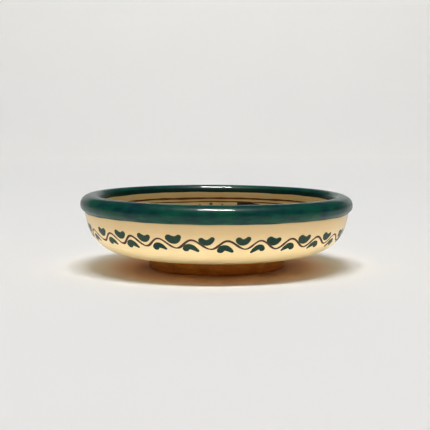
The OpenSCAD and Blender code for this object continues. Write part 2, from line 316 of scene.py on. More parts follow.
def grid_faces(rows, cols, wrap_rows, wrap_cols, first=0):
    """Four-sided faces of a grid of points, row by row."""
    i = np.arange(rows if wrap_rows else rows - 1)
    j = np.arange(cols if wrap_cols else cols - 1)
    i, j = (g.ravel() for g in np.meshgrid(i, j, indexing="ij"))
    i2, j2 = (i + 1) % rows, (j + 1) % cols
    return (first + np.c_[i * cols + j, i * cols + j2, i2 * cols + j2, i2 * cols + j]).tolist()


def revolved(name, rows, node, slot, values=None, poles=False, sharp=50):
    """Joins rows of points round the axis. With poles, the first and last row meet the axis."""
    n, cols = rows.shape[:2]
    values = {k: np.broadcast_to(v, (n, cols)) for k, v in (values or {}).items()}
    if not poles:
        flat = {k: v.ravel() for k, v in values.items()}
        return new_piece(name, rows.reshape(-1, 3), grid_faces(n, cols, True, True), node,
                         slot, flat, sharp)
    points = np.vstack([rows[0].mean(0), rows[1:-1].reshape(-1, 3), rows[-1].mean(0)])
    faces = grid_faces(n - 2, cols, False, True, 1)
    last, start = len(points) - 1, 1 + (n - 3) * cols
    j = np.arange(cols)
    faces += np.c_[np.zeros(cols, int), 1 + (j + 1) % cols, 1 + j].tolist()
    faces += np.c_[np.full(cols, last), start + j, start + (j + 1) % cols].tolist()
    flat = {k: np.r_[v[0, 0], v[1:-1].ravel(), v[-1, 0]] for k, v in values.items()}
    return new_piece(name, points, faces, node, slot, flat, sharp)


def bearings(n):
    return np.arange(n) / n * TAU


def coat(skin, name, node, slot, start, end, n_along, n_round, thick, edge,
         lift=0.0, to_axis=False):
    """A coat of glaze between two ways along the skin, which may waver round the bowl."""
    b = bearings(n_round)[None]
    u = np.linspace(0, 1, n_along)[:, None]
    u = ease(u) * 0.35 + u * 0.65
    s0, s1 = np.broadcast_to(start, b.shape), np.broadcast_to(end, b.shape)
    s = s0 + (s1 - s0) * u
    near = s1 - s
    if not to_axis:
        near = np.minimum(near, s - s0)
    fall = np.clip(1 - near / edge, 0, 1)
    top = lift - thick * (1 - np.sqrt(np.clip(1 - fall ** 2, 0, 1)))
    over = place(skin, b, s, top)
    under = place(skin, b, s, np.full_like(s, -thick))[::-1]
    keep = slice(None) if to_axis else np.r_[:n_along, n_along + 1:2 * n_along - 1]
    values = {"way": np.vstack([s, s[::-1]])[keep],
              "near_edge": np.vstack([near, near[::-1]])[keep]}
    return revolved(name, np.vstack([over, under])[keep], node, slot, values, to_axis)


# Brush marks

def side_to_side(n):
    """Places across a stroke, from -1 to 1, closer together near its edges."""
    return np.sin(np.linspace(-math.pi / 2, math.pi / 2, n))


def brush_mark(way, widths, ends=None, square=2.0, n_along=30, n_across=11):
    """A stroke through three points: flat points of a grid, and u and v of each.

    widths are half widths at the three points and ends the lengths of the two rounded tips.
    All of them are in millimetres. square is how square the first tip is.
    """
    a, m, b = (np.array(p, float) * MM for p in way)
    t = np.linspace(0, 1, 240)[:, None]
    pull = 2 * m - (a + b) / 2
    line = (1 - t) ** 2 * a + 2 * (1 - t) * t * pull + t * t * b
    r0, rm, r1 = (w * MM for w in widths)
    e0, e1 = (e * MM for e in ends) if ends else (r0, r1)
    go0 = (line[0] - line[1]) / np.linalg.norm(line[0] - line[1])
    go1 = (line[-1] - line[-2]) / np.linalg.norm(line[-1] - line[-2])
    line = np.vstack([line[0] + go0 * e0, line, line[-1] + go1 * e1])
    way_ = ways(line)
    total = way_[-1]
    u = (1 - np.cos(np.linspace(0, math.pi, n_along))) / 2
    d = u * total
    mid = along(line, way_, d)
    body = np.clip((d - e0) / (total - e0 - e1), 0, 1)
    w = (1 - body) ** 2 * r0 + 2 * (1 - body) * body * (2 * rm - (r0 + r1) / 2) + body ** 2 * r1
    tip0 = np.clip(1 - d / e0, 0, 1)
    tip1 = np.clip(1 - (total - d) / e1, 0, 1)
    w = w * (1 - tip0 ** square) ** (1 / square) * np.sqrt(1 - tip1 ** 2)
    go = np.gradient(mid, axis=0)
    go /= np.linalg.norm(go, axis=1)[:, None]
    left = np.c_[-go[:, 1], go[:, 0]]
    v = side_to_side(n_across)
    flat = mid[:, None, :] + (w[:, None] * v[None])[..., None] * left[:, None, :]
    return flat, np.broadcast_to(u[:, None], flat.shape[:2]), np.broadcast_to(v, flat.shape[:2])


def painted(skin, name, node, slot, marks, wrap=False):
    """Brush marks as thin domed solids. Each mark is (bearing, way, u, v, tone) of its grid."""
    points, faces, values = [], [], {"along": [], "across": [], "tone": []}
    first = 0
    for b, s, u, v, tone in marks:
        n, m = b.shape
        dome = skin.form.paint * np.sqrt(np.clip(1 - v * v, 0, 1))
        over = place(skin, b, s, dome)
        under = place(skin, b, s, np.full_like(dome, -0.15 * MM))
        loop = np.concatenate([over, under[:, ::-1]], axis=1)
        points.append(loop.reshape(-1, 3))
        rows = grid_faces(n, 2 * m, wrap, True, first)
        faces += rows
        if not wrap:
            faces.append(list(range(first, first + 2 * m))[::-1])
            faces.append(list(range(first + (n - 1) * 2 * m, first + n * 2 * m)))
        for key, grid in (("along", u), ("across", v), ("tone", np.full(b.shape, tone))):
            values[key].append(np.concatenate([grid, grid[:, ::-1]], axis=1).ravel())
        first += n * 2 * m
    return new_piece(name, np.vstack(points), faces, node, slot,
                     {k: np.concatenate(v) for k, v in values.items()}, sharp=75)


def on_wall(skin, bearing, height, flat):
    """Bearing and way of flat points drawn round a spot on the outside wall."""
    s0 = skin.outside_at(height)
    r0 = skin.at(s0)[0]
    return bearing + flat[..., 0] / r0, s0 - flat[..., 1]


# Shader building

class Nodes:
    """Short ways to add nodes to a material or a node group."""

    def __init__(self, tree):
        self.tree = tree
        self.at = 0

    def add(self, kind, **settings):
        node = self.tree.nodes.new(kind)
        self.at += 1
        node.location = (180 * (self.at % 9) - 900, -160 * (self.at // 9))
        for key, value in settings.items():
            setattr(node, key, value)
        return node

    def link(self, out, into):
        self.tree.links.new(out, into)

    def put(self, value, socket):
        if isinstance(value, bpy.types.NodeSocket):
            self.link(value, socket)
        elif socket.type == "RGBA":
            socket.default_value = (*value, 1.0)
        else:
            socket.default_value = value

    def give(self, node, **values):
        """Sets or links a node's sockets by name."""
        for key, value in values.items():
            self.put(value, node.inputs[key.replace("_", " ")])
        return node

    def fill(self, node, values):
        """Sets or links a node's sockets in their order."""
        for value, socket in zip(values, node.inputs):
            self.put(value, socket)
        return node

    def math(self, operation, *values, clamp=False):
        node = self.add("ShaderNodeMath", operation=operation, use_clamp=clamp)
        return self.fill(node, values).outputs[0]

    def vector(self, operation, *values):
        node = self.add("ShaderNodeVectorMath", operation=operation)
        return self.fill(node, values).outputs["Value" if operation == "LENGTH" else "Vector"]

    def mix(self, factor, a, b):
        node = self.add("ShaderNodeMix", data_type="RGBA")
        for value, socket in zip((factor, a, b), (node.inputs[k] for k in (0, 6, 7))):
            self.put(value, socket)
        return node.outputs[2]

    def noise(self, vector, scale, detail=3.0, rough=0.5):
        return self.give(self.add("ShaderNodeTexNoise"), Vector=vector, Scale=scale,
                         Detail=detail, Roughness=rough).outputs["Fac"]

    def between(self, value, low, high):
        """0 at low and 1 at high, smoothly."""
        node = self.add("ShaderNodeMapRange", interpolation_type="SMOOTHSTEP")
        return self.give(node, Value=value, From_Min=low, From_Max=high).outputs["Result"]

    def own(self, name):
        return self.add("ShaderNodeAttribute", attribute_name=name).outputs["Fac"]

    def where(self):
        return self.add("ShaderNodeTexCoord").outputs["Object"]

    def effect(self, name, **values):
        """A shared effect with its own values. Its group is built the first time."""
        node = self.add("ShaderNodeGroup")
        node.node_tree = bpy.data.node_groups.get(name) or EFFECTS[name](name)
        return self.give(node, **values).outputs

    def bump(self, height, strength, distance):
        return self.give(self.add("ShaderNodeBump"), Height=height, Strength=strength,
                         Distance=distance).outputs["Normal"]


def new_group(name, inputs, outputs):
    """An empty node group with named sockets: (name, kind, default)."""
    tree = bpy.data.node_groups.new(name, "ShaderNodeTree")
    for label, kind, default in inputs:
        socket = tree.interface.new_socket(label, in_out="INPUT", socket_type="NodeSocket" + kind)
        socket.default_value = default
    for label, kind in outputs:
        tree.interface.new_socket(label, in_out="OUTPUT", socket_type="NodeSocket" + kind)
    nodes = Nodes(tree)
    return nodes, nodes.add("NodeGroupInput"), nodes.add("NodeGroupOutput")


def build_wheel_streaks(name):
    """Streaks that run round the turning axis, as a brush on the wheel leaves them."""
    g, i, o = new_group(name, [("Long", "Float", 12.0), ("Fine", "Float", 900.0),
                               ("Soft", "Float", 0.35)], [("Streak", "Float")])
    spot = g.where()
    split = g.add("ShaderNodeSeparateXYZ")
    g.link(spot, split.inputs[0])
    flat = g.vector("MULTIPLY", spot, (1, 1, 0))
    turn = g.vector("SCALE", g.vector("NORMALIZE", flat))
    g.put(i.outputs["Long"], turn.node.inputs["Scale"])
    down = g.math("MULTIPLY", split.outputs["Z"], i.outputs["Fine"])
    out = g.math("MULTIPLY", g.vector("LENGTH", flat), i.outputs["Fine"])
    rise = g.give(g.add("ShaderNodeCombineXYZ"), Z=g.math("ADD", down, out))
    where = g.vector("ADD", turn, rise.outputs[0])
    fine = g.noise(where, 1.0, 4.0, 0.6)
    wide = g.noise(g.vector("MULTIPLY", where, (0.5, 0.5, 0.16)), 1.0, 2.0, 0.5)
    mixed = g.math("ADD", g.math("MULTIPLY", fine, 0.5), g.math("MULTIPLY", wide, 0.5))
    half = g.math("MULTIPLY", i.outputs["Soft"], 0.5)
    g.link(g.between(mixed, g.math("SUBTRACT", 0.5, half), g.math("ADD", 0.5, half)),
           o.inputs["Streak"])
    return g.tree


def build_kiln_mottle(name):
    """Soft clouding and small specks that the kiln leaves in a glaze."""
    g, i, o = new_group(name, [("Cloud Size", "Float", 60.0), ("Speck Size", "Float", 1400.0),
                               ("Speck Amount", "Float", 0.1)],
                        [("Cloud", "Float"), ("Speck", "Float")])
    where = g.where()
    cloud = g.noise(where, i.outputs["Cloud Size"], 4.0, 0.55)
    g.link(g.between(cloud, 0.3, 0.7), o.inputs["Cloud"])
    cells = g.give(g.add("ShaderNodeTexVoronoi"), Vector=where, Scale=i.outputs["Speck Size"])
    near = g.between(cells.outputs["Distance"], 0.22, 0.08)
    one = g.add("ShaderNodeSeparateColor")      # one random number for each cell
    g.link(cells.outputs["Color"], one.inputs[0])
    pick = g.math("LESS_THAN", one.outputs[0], i.outputs["Speck Amount"])
    g.link(g.math("MULTIPLY", near, pick), o.inputs["Speck"])
    return g.tree


def build_glaze_skin(name):
    """The gentle unevenness of a melted surface, as a height."""
    g, i, o = new_group(name, [("Swell Size", "Float", 90.0), ("Pit Size", "Float", 900.0)],
                        [("Height", "Float")])
    where = g.where()
    swell = g.noise(where, i.outputs["Swell Size"], 2.0, 0.5)
    pits = g.noise(where, i.outputs["Pit Size"], 2.0, 0.5)
    g.link(g.math("ADD", swell, g.math("MULTIPLY", pits, 0.12)), o.inputs["Height"])
    return g.tree


EFFECTS = {"Wheel Streaks": build_wheel_streaks, "Kiln Mottle": build_kiln_mottle,
           "Glaze Skin": build_glaze_skin}


def new_material(name):
    material = bpy.data.materials.new(name)
    material.use_nodes = True
    tree = material.node_tree
    tree.nodes.clear()
    nodes = Nodes(tree)
    shader = nodes.add("ShaderNodeBsdfPrincipled")
    out = nodes.add("ShaderNodeOutputMaterial")
    nodes.link(shader.outputs[0], out.inputs["Surface"])
    return material, nodes, shader


def glossy(n, shader, swell, pits, strength, depth, coat=0.5, coat_rough=0.03):
    """The glassy finish that all the glazes share, over a gently uneven surface."""
    skin = n.effect("Glaze Skin", Swell_Size=swell, Pit_Size=pits)[0]
    n.give(shader, Roughness=0.4, Specular_IOR_Level=0.08, Coat_Weight=coat,
           Coat_Roughness=coat_rough, Coat_IOR=1.5, Normal=n.bump(skin, strength, depth))


def wear(piece, name, build=None, *values):
    """Gives a piece a material, which is built the first time."""
    piece.data.materials.clear()
    piece.data.materials.append(bpy.data.materials.get(name) or build(name, *values))


def clay_material(name, colours):
    """Bare fired clay, with turning marks and pale grog."""
    material, n, shader = new_material(name)
    streaks = n.effect("Wheel Streaks", Long=9.0, Fine=1500.0, Soft=0.5)[0]
    cloud, speck = n.effect("Kiln Mottle", Cloud_Size=55.0, Speck_Size=900.0, Speck_Amount=0.16)
    base = colours.clay
    dark = tuple(c * 0.62 for c in base)
    light = tuple(min(1, c * 1.35) for c in base)
    tone = n.mix(streaks, dark, light)
    tone = n.mix(n.math("MULTIPLY", cloud, 0.5), tone, base)
    tone = n.mix(n.math("MULTIPLY", speck, 0.5), tone, (0.6, 0.42, 0.26))
    grain = n.noise(n.where(), 2600.0, 3.0, 0.6)
    height = n.math("ADD", n.math("MULTIPLY", grain, 0.5), streaks)
    n.give(shader, Base_Color=tone, Roughness=0.85, Specular_IOR_Level=0.25,
           Normal=n.bump(height, 0.5, 0.12 * MM))
    return material


def pale_glaze_material(name, base, deep, clay, line_r, shade=None):
    """A warm see-through glaze that darkens where it lies thick, with painted shade under the lip
    if asked.
    """
    material, n, shader = new_material(name)
    streaks = n.effect("Wheel Streaks", Long=7.0, Fine=420.0, Soft=0.7)[0]
    cloud, speck = n.effect("Kiln Mottle", Cloud_Size=38.0, Speck_Size=1100.0, Speck_Amount=0.035)
    thick = n.math("ADD", n.math("MULTIPLY", streaks, 0.28),
                   n.math("MULTIPLY", cloud, 0.30))
    pool = n.between(n.own("near_edge"), line_r, 0.0)
    thick = n.math("ADD", thick, n.math("MULTIPLY", pool, 0.55), clamp=True)
    tone = n.mix(thick, base, deep)
    if shade:
        # Painted shade: towards the lip the colour goes over to the shade colour, for the lip's
        # shadow on the wall.
        tone = n.mix(n.between(n.own("way"), *shade[1:]), tone, shade[0])
    tone = n.mix(n.math("MULTIPLY", speck, 0.35), tone, clay)
    n.link(tone, shader.inputs["Base Color"])
    glossy(n, shader, 70.0, 800.0, 0.25, 0.25 * MM)
    return material


def lip_glaze_material(name, colours):
    """Dark copper glaze brushed round the lip on the wheel, with painted shade low inside, where
    it is also duller.
    """
    material, n, shader = new_material(name)
    streaks = n.effect("Wheel Streaks", Long=9.0, Fine=620.0, Soft=0.26)[0]
    cloud = n.effect("Kiln Mottle", Cloud_Size=95.0, Speck_Size=1500.0, Speck_Amount=0.05)[0]
    mixed = n.math("ADD", n.math("MULTIPLY", streaks, 0.6),
                   n.math("MULTIPLY", cloud, 0.4))
    tone = n.mix(mixed, colours.teal, colours.green)
    thin = n.between(n.own("near_edge"), 1.6 * MM, 0.2 * MM)
    tone = n.mix(n.math("MULTIPLY", thin, 0.6), tone, (0.03, 0.10, 0.075))
    # Painted shade: low on the inside face of the lip the colour goes nearly black and the clear
    # coat is made thinner, standing in for the shade there.
    low = n.between(n.own("way"), -4.2 * MM, -5.4 * MM)
    tone = n.mix(n.math("MULTIPLY", low, 0.75), tone, (0.002, 0.008, 0.002))
    n.link(tone, shader.inputs["Base Color"])
    glossy(n, shader, 45.0, 700.0, 0.07, 0.15 * MM, coat_rough=0.02)
    n.link(n.math("SUBTRACT", 0.36, n.math("MULTIPLY", low, 0.30)),
           shader.inputs["Coat Weight"])
    return material


def paint_material(name, core, edge, ground, thin=0.02):
    """Brush paint under glaze: dark in the middle, thin and coloured at its edges."""
    material, n, shader = new_material(name)
    rim = n.between(n.math("ABSOLUTE", n.own("across")), 0.55, 1.0)
    hairs = n.give(n.add("ShaderNodeCombineXYZ"), X=n.math("MULTIPLY", n.own("along"), 1.3),
                   Y=n.math("MULTIPLY", n.own("across"), 3.2),
                   Z=n.math("MULTIPLY", n.own("tone"), 37.0))
    bristle = n.between(n.noise(hairs.outputs[0], 1.6, 3.0, 0.6), 0.32, 0.72)
    tone = n.mix(n.math("MULTIPLY", bristle, 0.45), core, edge)
    tone = n.mix(rim, tone, edge)
    tone = n.mix(n.math("MULTIPLY", n.own("tone"), thin), tone, ground)
    n.link(tone, shader.inputs["Base Color"])
    glossy(n, shader, 70.0, 800.0, 0.2, 0.2 * MM, coat=0.22)
    return material


# Operators

def settings(context):
    """The sizes, the brushwork and the colours in use, and the surface that they give."""
    scene = context.scene
    return scene.bowl_form, scene.bowl_brushwork, scene.bowl_colours, Skin(scene.bowl_form)


class BOWL_OT_throw_clay(Operator):
    """Throws the clay wall and floor, with the turned hollow underneath"""
    bl_idname = "bowl.throw_clay"
    bl_label = "Throw Clay"

    def execute(self, context):
        form, _, colours, skin = settings(context)
        b = bearings(360)[None]
        depth = -form.glaze
        inside_top = skin.inside_at(COAT_HIGH.z)
        s_in = np.linspace(skin.start, inside_top, 70)[:, None]
        s_out = np.linspace(skin.seat, skin.end, 60)[:, None]
        rows = [place(skin, b, s_in, depth), place(skin, b, s_out, depth)]
        boss_r = FOOT_HIGH.x - form.foot_width - 0.15 * MM
        flat = [(skin.base_r, COAT_LOW.z), (FOOT_HIGH.x + 0.2 * MM, COAT_LOW.z),
                (boss_r, COAT_LOW.z), (boss_r, CLAY_LOW.z + 0.6 * MM),
                (boss_r - 0.2 * MM, CLAY_LOW.z + 0.15 * MM), (boss_r - 0.8 * MM, CLAY_LOW.z)]
        inner = np.linspace(boss_r - 1.2 * MM, 0, 120)
        line = np.vstack([flat, np.c_[inner, np.full(120, CLAY_LOW.z)]])
        r, z = line[:, 0][:, None], line[:, 1][:, None]
        groove = np.abs(np.sin(math.pi * r / (2.6 * MM) + b / 2)) ** 3
        turned = np.where(r < boss_r - 1 * MM, groove * 0.22 * MM, 0) * ease(r / (4 * MM))
        x, y = r * np.sin(b), -r * np.cos(b)
        rows.append(np.stack(hand_of(form, b, x, y, z + turned), axis=-1))
        piece = revolved("thrown_bowl", np.vstack(rows), "clay_bowl", "terracotta", poles=True)
        wear(piece, "bare_terracotta", clay_material, colours)
        return {"FINISHED"}


class BOWL_OT_lay_lip_coil(Operator):
    """Lays the clay roll of the lip on the wall"""
    bl_idname = "bowl.lay_lip_coil"
    bl_label = "Lay Lip Coil"

    def execute(self, context):
        form, _, colours, skin = settings(context)
        b = bearings(360)[None]
        s = np.linspace(skin.inside_at(COAT_HIGH.z), skin.seat, 60)[:, None]
        rows = place(skin, b, s, -form.glaze)
        piece = revolved("lip_coil", rows, "rim_coil", "terracotta")
        wear(piece, "bare_terracotta", clay_material, colours)
        return {"FINISHED"}


class BOWL_OT_turn_foot(Operator):
    """Turns the foot ring and wears its resting edges"""
    bl_idname = "bowl.turn_foot"
    bl_label = "Turn Foot Ring"

    def execute(self, context):
        form, brush, colours, _ = settings(context)
        rng = np.random.default_rng(brush.seed + 1)
        outer, inner = FOOT_HIGH.x, FOOT_HIGH.x - form.foot_width
        top, soft, taper = FOOT_HIGH.z, 0.7 * MM, 0.6 * MM
        a = np.linspace(0, math.pi / 2, 7)
        up = np.linspace(top, soft, 34)
        out_face = np.c_[outer - taper * (1 - up / top), up]
        out_edge = np.c_[outer - taper - soft + soft * np.cos(a), soft * (1 - np.sin(a))]
        rest = np.c_[np.linspace(outer - taper - soft, inner + soft, 9)[1:-1], np.zeros(7)]
        in_edge = np.c_[inner + soft - soft * np.sin(a), soft * (1 - np.cos(a))]
        in_face = np.c_[np.full(12, inner), np.linspace(soft, top, 13)[1:]]
        line = np.vstack([out_face, out_edge[1:], rest, in_edge, in_face])
        r, z = line[:, 0][:, None], line[:, 1][:, None]
        b = bearings(420)[None]
        on_face = (r > outer - taper - 0.05 * MM) & (z > soft) & (z < top - 0.3 * MM)
        lines = (0.05 * MM * np.sin(TAU * z / (1.25 * MM) + b)
                 + 0.04 * MM * np.sin(TAU * z / (0.5 * MM) - b))
        waver = slips(rng, (2, 3, 7, 13), 0.12 * MM)
        dr = np.where(on_face, lines - 0.09 * MM, 0) + waver(b) * np.clip(z / top, 0, 1) - 0.1 * MM
        worn = slips(rng, (11, 17, 29, 41), 0.10 * MM)(b)
        aside = ease(np.abs(r - (outer + inner) / 2) / (4 * MM))
        dz = np.where(z < 0.6 * MM, np.abs(worn) * aside, 0)
        r2 = r + dr
        rows = np.stack([r2 * np.sin(b), -r2 * np.cos(b), z + dz], axis=-1)
        piece = revolved("foot_ring_turned", rows, "foot_ring", "terracotta", sharp=60)
        wear(piece, "bare_terracotta", clay_material, colours)
        return {"FINISHED"}


class BOWL_OT_glaze_outside(Operator):
    """Coats the outside wall with cream glaze"""
    bl_idname = "bowl.glaze_outside"
    bl_label = "Glaze Outside"

    def execute(self, context):
        form, brush, colours, skin = settings(context)
        rng = np.random.default_rng(brush.seed + 2)
        b = bearings(1080)
        waver = slips(rng, (3, 5, 8, 13, 21), 1.1 * MM)(b)
        end = np.minimum(skin.end - 0.9 * MM + waver, skin.end)
        piece = coat(skin, "cream_coat", "outer_glaze", "cream_glaze",
                     skin.seat + 0.35 * MM, end, 150, 1080, form.glaze, 0.7 * MM)
        # The cream goes over to painted shade across the 30 mm of wall under the lip.
        wear(piece, "outside_cream", pale_glaze_material, colours.cream, colours.cream_deep,
             colours.clay, 2.2 * MM, (colours.cream_shade, skin.seat + 30 * MM, skin.seat))
        return {"FINISHED"}


class BOWL_OT_glaze_inside(Operator):
    """Coats the inside with the cream glaze, darkened as painted shade"""
    bl_idname = "bowl.glaze_inside"
    bl_label = "Glaze Inside"

    def execute(self, context):
        form, _, colours, skin = settings(context)
        piece = coat(skin, "inside_cream_coat", "inner_glaze", "honey_glaze",
                     skin.start, skin.inside_at(49.9 * MM), 170, 900, form.glaze, 0.7 * MM,
                     to_axis=True)
        # The inside colours are the cream glaze darkened as painted shade.
        wear(piece, "inside_honey", pale_glaze_material, colours.honey, colours.inside_cream_shaded_deep,
             colours.clay, 1.0 * MM)
        return {"FINISHED"}


class BOWL_OT_glaze_lip(Operator):
    """Brushes dark green glaze round the lip, with a wavering lower edge"""
    bl_idname = "bowl.glaze_lip"
    bl_label = "Glaze Lip"

    def execute(self, context):
        form, brush, colours, skin = settings(context)
        rng = np.random.default_rng(brush.seed + 3)
        b = bearings(1080)
        start = skin.inside_at(48.6 * MM) + slips(rng, (4, 7, 12, 19), 0.18 * MM)(b)
        end = skin.seat + 0.75 * MM + slips(rng, (3, 5, 9, 16, 27), 0.25 * MM)(b)
        piece = coat(skin, "lip_coat", "rim_glaze", "green_glaze", start, end,
                     170, 1080, form.glaze, 0.6 * MM, lift=0.16 * MM)
        wear(piece, "lip_green", lip_glaze_material, colours)
        return {"FINISHED"}


def vine_line(brush):
    """Height of the vine's middle line at a bearing, and how late its waves come there."""
    rng = np.random.default_rng(brush.seed + 4)
    drift = slips(rng, (2, 3, 5, 7), 0.18 * MM)
    swell = slips(rng, (4, 6, 9), 0.10)
    wander = slips(rng, (3, 5, 8, 11), math.radians(0.35))
    tilt = 1.2 * MM

    def late(b):
        side = (np.mod(b + math.pi, TAU) - math.pi + math.radians(52)) / math.radians(14)
        return wander(b) - math.radians(2.2) * np.exp(-side ** 2)

    def height(b):
        turn = brush.waves * (b + late(b) - math.radians(brush.vine_bearing))
        wave = np.cos(turn + 0.11 * (1 - np.cos(turn)))
        return (brush.vine_height - tilt * np.sin(b) + drift(b)
                - brush.vine_swing * (1 + swell(b)) * wave)
    return height, late


class BOWL_OT_paint_vine(Operator):
    """Paints the waving vine line round the wall"""
    bl_idname = "bowl.paint_vine"
    bl_label = "Paint Vine"

    def execute(self, context):
        _, brush, colours, skin = settings(context)
        height, _ = vine_line(brush)
        n = brush.waves * 56
        b = bearings(n)
        s = skin.outside_at(height(b))
        r = skin.at(s)[0]
        rise, run = np.gradient(np.r_[s[-1], s, s[0]])[1:-1], r * TAU / n
        step = np.hypot(rise, run)
        press = slips(np.random.default_rng(brush.seed + 5), (9, 17, 25, 50, 75), 0.22)
        half = brush.vine_width / 2 * (1 + press(b))
        v = side_to_side(9)[None]
        bb = b[:, None] - (rise / step * half / r)[:, None] * v
        ss = s[:, None] + (run / step * half)[:, None] * v
        u = np.broadcast_to((b / TAU * 60)[:, None], bb.shape)
        marks = [(bb, ss, u, np.broadcast_to(v, bb.shape), 0.5)]
        piece = painted(skin, "vine", "vine_line", "brown_paint", marks, wrap=True)
        wear(piece, "vine_brown", paint_material, colours.vine, (0.10, 0.05, 0.035),
             colours.cream, 0.03)
        return {"FINISHED"}


class BOWL_OT_paint_leaves(Operator):
    """Paints a leaf in every trough of the vine and one under every crest"""
    bl_idname = "bowl.paint_leaves"
    bl_label = "Paint Leaves"

    def execute(self, context):
        _, brush, colours, skin = settings(context)
        height, late = vine_line(brush)
        rng = np.random.default_rng(brush.seed + 6)
        pitch = TAU / brush.waves
        start = math.radians(brush.vine_bearing)
        upper, lower = [], []
        for k in range(brush.waves):
            j = rng.normal(0, 1, 16)
            b = start + k * pitch
            b = b - late(b)
            k0 = brush.leaf_span / (10.4 * MM) * (1 + 0.05 * j[0])
            w0 = brush.upper_width / (4.4 * MM) * (1 + 0.06 * j[1])
            z = height(b) + brush.vine_width / 2 + (1.75 - 0.6 * math.sin(b) + 3.3 * w0) * MM
            flat, u, v = brush_mark(
                ((-3.1 * k0, (0.8 + 0.25 * j[2]) * k0), ((0.2 + 0.3 * j[3]) * k0, -0.5 * k0),
                 (3.5 * k0, (1.5 + 0.35 * j[4]) * k0)),
                (w0 * (2.55 + 0.12 * j[5]), w0 * 2.85, w0 * (1.9 + 0.12 * j[6])))
            away = math.radians(1.0 - 2.3 * math.cos(b + math.radians(14))
                                - 0.6 * math.tanh((math.remainder(b, TAU) + 0.22) * 8)
                                + 0.35 * j[7])
            bb, ss = on_wall(skin, b + away, z + 0.15 * j[8] * MM, flat)
            upper.append((bb, ss, u, v, float(rng.uniform())))
            b = start + (k + 0.48) * pitch
            b = b - late(b)
            side = 1.0 if math.sin(b - math.radians(15)) > 0 else -1.0
            k1 = k0 * (1 + 0.05 * j[9])
            w1 = brush.lower_width / (4.0 * MM) * (1 + 0.06 * j[10])
            z = height(b) - brush.vine_width / 2 - (1.9 + 2.9 * w1) * MM
            drop = 0.8 if side > 0 else 0.0
            flat, u, v = brush_mark(
                ((side * 2.9 * k1, (-1.1 + 0.25 * j[11]) * k1), (side * 0.2 * k1, 0.75 * k1),
                 (-side * 4.0 * k1, (-2.0 - drop + 0.3 * j[12]) * k1)),
                (w1 * (2.4 - 0.3 * drop), w1 * 2.3, w1 * (1.15 + 0.1 * j[13])))
            away = math.radians(-0.6 - 0.7 * math.tanh((math.remainder(b, TAU) + 0.26) * 7)
                                + 0.3 * j[14])
            bb, ss = on_wall(skin, b + away, z, flat)
            lower.append((bb, ss, u, v, float(rng.uniform())))
        for name, node, marks in (("leaves_above", "upper_leaves", upper),
                                  ("leaves_below", "lower_leaves", lower)):
            piece = painted(skin, name, node, "leaf_paint", marks)
            wear(piece, "border_leaf", paint_material, colours.leaf, colours.leaf_edge,
                 colours.cream)
        return {"FINISHED"}


def band_marks(skin, middle, width, seed, waver, n=1080):
    """A line drawn round the bowl on the wheel."""
    rng = np.random.default_rng(seed)
    b = bearings(n)
    half = width / 2 * (1 + slips(rng, (3, 7, 13, 22, 35), 0.22)(b))
    mid = middle + slips(rng, (2, 5, 9, 14), waver)(b)
    v = side_to_side(9)[None]
    bb = np.broadcast_to(b[:, None], (n, 9))
    ss = mid[:, None] + half[:, None] * v
    u = np.broadcast_to((b / TAU * 30)[:, None], bb.shape)
    return [(bb, ss, u, np.broadcast_to(v, bb.shape), 0.4)]


class BOWL_OT_paint_bands(Operator):
    """Draws the two brown lines inside, under the lip"""
    bl_idname = "bowl.paint_bands"
    bl_label = "Paint Bands"

    def execute(self, context):
        _, brush, colours, skin = settings(context)
        for name, node, low, high, shift in (("band_thick", "upper_band", BAND_LOW, BAND_HIGH, 0),
                                             ("band_thin", "lower_band", THIN_LOW, THIN_HIGH, 1)):
            middle = skin.inside_at((low.z + high.z) / 2)
            marks = band_marks(skin, middle, high.z - low.z, brush.seed + 20 + shift, 0.18 * MM)
            piece = painted(skin, name, node, "brown_paint", marks, wrap=True)
            wear(piece, "band_brown", paint_material, colours.band, (0.20, 0.085, 0.02),
                 colours.honey)
        return {"FINISHED"}


class BOWL_OT_paint_well(Operator):
    """Paints the large leaves and the sprigs round the inside wall"""
    bl_idname = "bowl.paint_well"
    bl_label = "Paint Well"

    def execute(self, context):
        _, brush, colours, skin = settings(context)
        rng = np.random.default_rng(brush.seed + 8)
        top = skin.inside_at(41.1 * MM)
        r0 = BAND_HIGH.x
        leaves, sprigs = [], []
        for k in range(GREAT_LEAVES):
            j = rng.normal(0, 1, 6)
            back = math.radians(12) + k * TAU / GREAT_LEAVES
            flat, u, v = brush_mark(((0, 0), (24, -3.8), (51, -10)),
                                    (5.0, 5.8 * (1 + 0.04 * j[0]), 1.2), (1.4, 1.2), 5.0, 54, 17)
            bearing = math.pi - back - flat[..., 0] / r0
            leaves.append((bearing, top - 5.0 * MM + flat[..., 1], u, v, float(rng.uniform())))
            for i in (-1, 0, 1):
                mid = back - math.radians(15) + i * math.radians(5.8)
                flat, u, v = brush_mark(((0.5 * i, 3.2), (0.1 * i, 0), (-0.8 * i, -4.4)),
                                        (1.4, 1.7, 0.6))
                bearing = math.pi - mid - flat[..., 0] / r0
                way = top - 5.6 * MM - abs(i) * 1.2 * MM + flat[..., 1]
                sprigs.append((bearing, way, u, v, float(rng.uniform())))
        piece = painted(skin, "great_leaves", "well_leaves", "leaf_paint", leaves)
        wear(piece, "great_leaf", paint_material, (0.003, 0.012, 0.020), (0.008, 0.030, 0.022),
             colours.honey)
        piece = painted(skin, "sprigs", "well_sprigs", "sprig_paint", sprigs)
        wear(piece, "sprig_green", paint_material, (0.03, 0.10, 0.04), (0.10, 0.16, 0.05),
             colours.honey)
        return {"FINISHED"}


